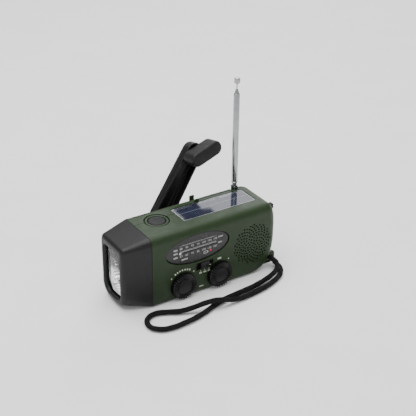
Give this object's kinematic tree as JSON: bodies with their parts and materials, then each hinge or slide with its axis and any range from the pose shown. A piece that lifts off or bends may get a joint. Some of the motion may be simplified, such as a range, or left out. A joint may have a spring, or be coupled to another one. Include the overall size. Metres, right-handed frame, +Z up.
{
  "type": "emergency radio",
  "caption": "Hand-crank emergency radio with a torch head, solar panel, tuning dial, telescopic antenna, fold-out crank and wrist strap.",
  "frame": {"origin": "centre of the base between the torch rim and the right end, on the surface it stands on", "axes": "+X along the radio away from the torch, -Y out of the dial face, +Z up"},
  "size_m": [0.1314, 0.0983, 0.1424],
  "materials": {
    "green_case": "fine matt moulding, olive green",
    "charcoal_plastic": "satin moulding, charcoal",
    "black_plastic": "satin moulding, black",
    "black_rubber": "soft matt rubber",
    "clear_plastic": "clear glossy window",
    "dark_gloss": "glossy dark dial",
    "bright_chrome": "bright plated",
    "steel": "plain steel",
    "circuit_board": "green board",
    "cell_blue": "dark glossy cell",
    "white_plastic": "plain white moulding",
    "paper": "pressed paper cone",
    "copper": "enamelled copper winding",
    "ferrite": "fired ferrite",
    "battery_sleeve": "blue sleeve",
    "braid": "black braided cord"
  },
  "bodies": {
    "case": {"front_case": "green_case", "rear_case": "green_case", "head_shell": "charcoal_plastic", "torch_lens": "clear_plastic", "reflector": "bright_chrome", "led_1": "white_plastic", "led_2": "white_plastic", "led_3": "white_plastic", "led_board": "circuit_board", "solar_window": "clear_plastic", "solar_cell": "cell_blue", "button_bezel": "green_case", "torch_switch": "black_plastic", "dial_window": "dark_gloss", "tuning_capacitor": "white_plastic", "volume_control": "white_plastic", "switch_body": "steel", "speaker_basket": "steel", "speaker_cone": "paper", "speaker_magnet": "steel", "main_board": "circuit_board", "battery": "battery_sleeve", "ferrite_bar": "ferrite", "ferrite_coil": "copper", "dynamo_case": "steel", "gear_frame": "black_plastic", "mast_bracket": "steel", "charge_socket": "steel", "case_screw_1": "steel", "case_screw_2": "steel", "case_screw_3": "steel", "case_screw_4": "steel", "wrist_strap": "braid"},
    "torch_button": {"torch_button": "black_rubber"},
    "dial_pointer": {"dial_pointer": "white_plastic"},
    "tuning_knob": {"tuning_knob": "black_plastic"},
    "volume_knob": {"volume_knob": "black_plastic"},
    "band_switch": {"band_switch": "black_plastic"},
    "crank_drive": {"crank_hub": "black_plastic", "fold_pin": "steel", "drive_gear": "white_plastic"},
    "idler": {"idler_gear": "white_plastic"},
    "rotor": {"dynamo_rotor": "steel"},
    "crank_arm": {"crank_arm": "black_plastic", "grip_axle": "steel"},
    "crank_grip": {"crank_grip": "black_plastic"},
    "antenna_foot": {"mast_swivel": "bright_chrome", "tilt_screw": "steel"},
    "antenna_1": {"mast_tube_1": "bright_chrome"},
    "antenna_2": {"mast_tube_2": "bright_chrome"},
    "antenna_3": {"mast_tube_3": "bright_chrome"},
    "antenna_rod": {"mast_rod": "bright_chrome"},
    "port_cover": {"port_cover": "black_rubber"}
  },
  "joints": [
    {"name": "torch_press", "type": "slide", "parent": "case", "child": "torch_button", "axis": [0, 0, -1], "range_m": [0, 0.0008], "stiffness_N_per_m": 500},
    {"name": "tuning_turn", "type": "hinge", "parent": "case", "child": "tuning_knob", "pos_m": [-0.0174, -0.0205, 0.0109], "axis": [0, 1, 0], "range_deg": [0, 300]},
    {"name": "pointer_slide", "type": "slide", "parent": "case", "child": "dial_pointer", "axis": [1, 0, 0], "range_m": [0, 0.03]},
    {"name": "volume_turn", "type": "hinge", "parent": "case", "child": "volume_knob", "pos_m": [0.0134, -0.0205, 0.0109], "axis": [0, 1, 0], "range_deg": [0, 280]},
    {"name": "band_slide", "type": "slide", "parent": "case", "child": "band_switch", "axis": [1, 0, 0], "range_m": [-0.002, 0.002]},
    {"name": "crank_spin", "type": "hinge", "parent": "case", "child": "crank_drive", "pos_m": [-0.0192, 0.025, 0.027], "axis": [0, -1, 0], "continuous": true},
    {"name": "crank_fold", "type": "hinge", "parent": "crank_drive", "child": "crank_arm", "pos_m": [-0.0192, 0.025, 0.027], "axis": [-0.7524, 0, 0.6587], "range_deg": [-12, 168]},
    {"name": "grip_spin", "type": "hinge", "parent": "crank_arm", "child": "crank_grip", "pos_m": [0.02764, 0.04011, 0.0805], "axis": [0.1369, -0.9781, 0.1564], "continuous": true},
    {"name": "idler_spin", "type": "hinge", "parent": "case", "child": "idler", "pos_m": [0.0001, 0.0142, 0.027], "axis": [0, -1, 0], "continuous": true},
    {"name": "rotor_spin", "type": "hinge", "parent": "case", "child": "rotor", "pos_m": [0.0122, 0.0108, 0.027], "axis": [0, -1, 0], "continuous": true},
    {"name": "antenna_swivel", "type": "hinge", "parent": "case", "child": "antenna_foot", "pos_m": [0.0504, 0.0165, 0.056], "axis": [0, 0, 1], "continuous": true},
    {"name": "antenna_tilt", "type": "hinge", "parent": "antenna_foot", "child": "antenna_1", "pos_m": [0.0504, 0.0165, 0.056], "axis": [0, -1, 0], "range_deg": [0, 90]},
    {"name": "antenna_pull_2", "type": "slide", "parent": "antenna_1", "child": "antenna_2", "axis": [0, 0, 1], "range_m": [0, 0.06]},
    {"name": "antenna_pull_3", "type": "slide", "parent": "antenna_2", "child": "antenna_3", "axis": [0, 0, 1], "range_m": [0, 0.06]},
    {"name": "antenna_pull_rod", "type": "slide", "parent": "antenna_3", "child": "antenna_rod", "axis": [0, 0, 1], "range_m": [0, 0.06]},
    {"name": "port_cover_open", "type": "hinge", "parent": "case", "child": "port_cover", "pos_m": [0.0651, -0.004, 0.0329], "axis": [0, 1, 0], "range_deg": [0, 120]}
  ],
  "couplings": [
    {"joint": "pointer_slide", "follows": "tuning_turn", "m_per_rad": 0.0057296},
    {"joint": "idler_spin", "follows": "crank_spin", "ratio": -3},
    {"joint": "rotor_spin", "follows": "crank_spin", "ratio": 9}
  ]
}
